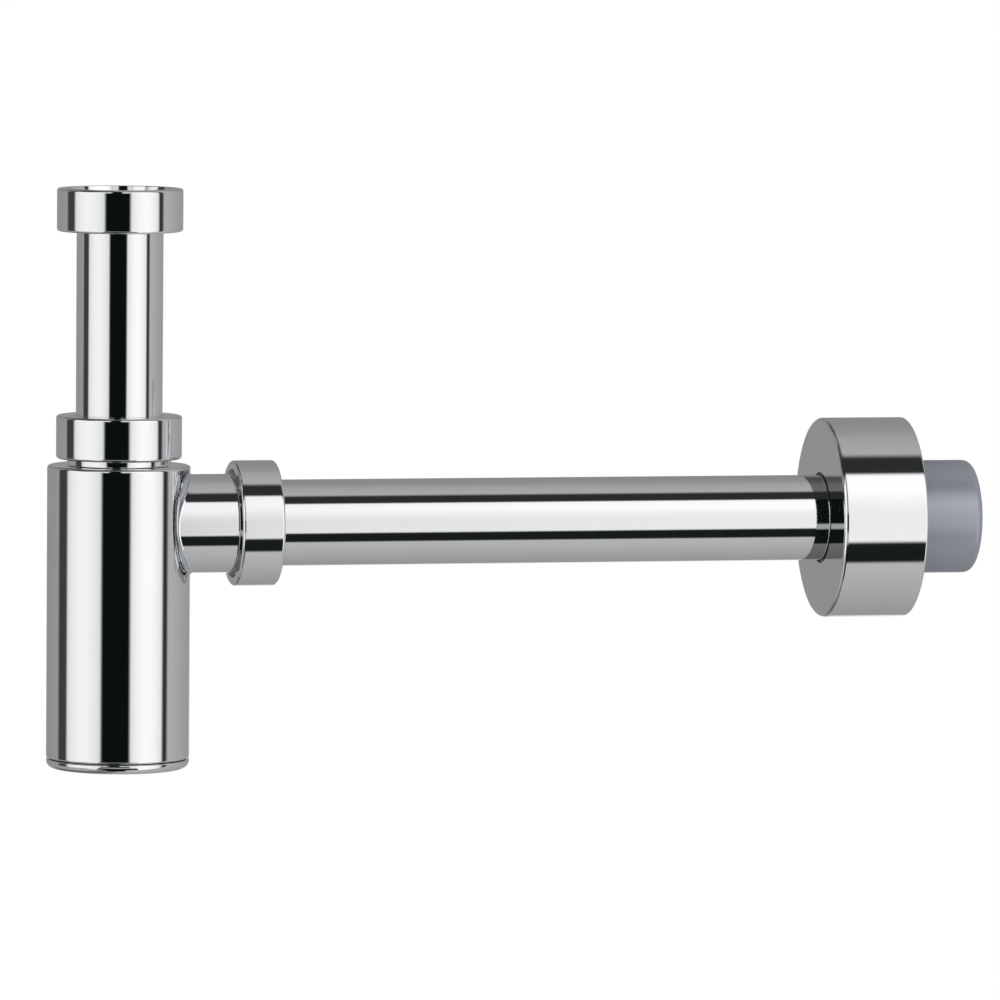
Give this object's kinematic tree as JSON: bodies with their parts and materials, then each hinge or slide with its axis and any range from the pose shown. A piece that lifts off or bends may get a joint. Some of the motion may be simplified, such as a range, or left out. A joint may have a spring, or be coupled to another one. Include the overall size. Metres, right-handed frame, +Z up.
{
  "type": "bottle trap",
  "caption": "Round chromed bottle trap for a basin: union nut and dip pipe, bottle with cleaning cap, and a side outlet pipe with deep wall flange and rubber sleeve.",
  "frame": {"origin": "centre of the inlet washer's upper face, inside the union nut, where the basin waste seals", "axes": "+Z up along the inlet pipe, +X along the outlet pipe towards the wall"},
  "size_m": [0.352, 0.075, 0.2143],
  "materials": {
    "chrome": "polished chrome on brass",
    "seal_rubber": "matt black rubber",
    "slip_ring_plastic": "natural polyethylene",
    "sleeve_rubber": "satin grey rubber"
  },
  "bodies": {
    "inlet": {"inlet_nut": "chrome", "inlet_washer": "seal_rubber"},
    "dip_pipe": {"inlet_pipe": "chrome"},
    "bottle": {"bottle_body": "chrome", "neck_seal": "seal_rubber", "outlet_seal": "seal_rubber"},
    "neck_ring": {"neck_slip_ring": "slip_ring_plastic"},
    "neck_nut": {"neck_nut": "chrome"},
    "outlet_ring": {"outlet_slip_ring": "slip_ring_plastic"},
    "outlet_nut": {"outlet_nut": "chrome"},
    "outlet": {"outlet_pipe": "chrome", "wall_sleeve": "sleeve_rubber"},
    "flange": {"wall_flange": "chrome"},
    "cap_ring": {"cap_seal": "seal_rubber"},
    "cap": {"bottom_cap": "chrome"}
  },
  "joints": [
    {"name": "inlet_swivel", "type": "hinge", "parent": "inlet", "child": "dip_pipe", "pos_m": [0, 0, 0], "axis": [0, 0, 1], "continuous": true},
    {"name": "bottle_height", "type": "slide", "parent": "dip_pipe", "child": "bottle", "axis": [0, 0, 1], "range_m": [-0.03, 0.015]},
    {"name": "neck_ring_lift", "type": "slide", "parent": "bottle", "child": "neck_ring", "axis": [0, 0, 1], "range_m": [0, 0.0104]},
    {"name": "neck_nut_turn", "type": "hinge", "parent": "neck_ring", "child": "neck_nut", "pos_m": [0, 0, -0.0908], "axis": [0, 0, 1], "range_deg": [0, 1620]},
    {"name": "outlet_ring_shift", "type": "slide", "parent": "bottle", "child": "outlet_ring", "axis": [1, 0, 0], "range_m": [0, 0.0104]},
    {"name": "outlet_nut_turn", "type": "hinge", "parent": "outlet_ring", "child": "outlet_nut", "pos_m": [0.0424, 0, -0.1152], "axis": [1, 0, 0], "range_deg": [0, 1620]},
    {"name": "outlet_reach", "type": "slide", "parent": "bottle", "child": "outlet", "axis": [1, 0, 0], "range_m": [-0.007, 0.01]},
    {"name": "flange_slide", "type": "slide", "parent": "outlet", "child": "flange", "axis": [1, 0, 0], "range_m": [-0.185, 0.012]},
    {"name": "cap_ring_drop", "type": "slide", "parent": "bottle", "child": "cap_ring", "axis": [0, 0, -1], "range_m": [0, 0.0105]},
    {"name": "cap_turn", "type": "hinge", "parent": "cap_ring", "child": "cap", "pos_m": [0, 0, -0.2054], "axis": [0, 0, -1], "range_deg": [0, 2520]}
  ],
  "couplings": [
    {"joint": "neck_ring_lift", "follows": "neck_nut_turn", "m_per_rad": 0.00036749},
    {"joint": "outlet_ring_shift", "follows": "outlet_nut_turn", "m_per_rad": 0.00036749},
    {"joint": "cap_ring_drop", "follows": "cap_turn", "m_per_rad": 0.00023873}
  ]
}
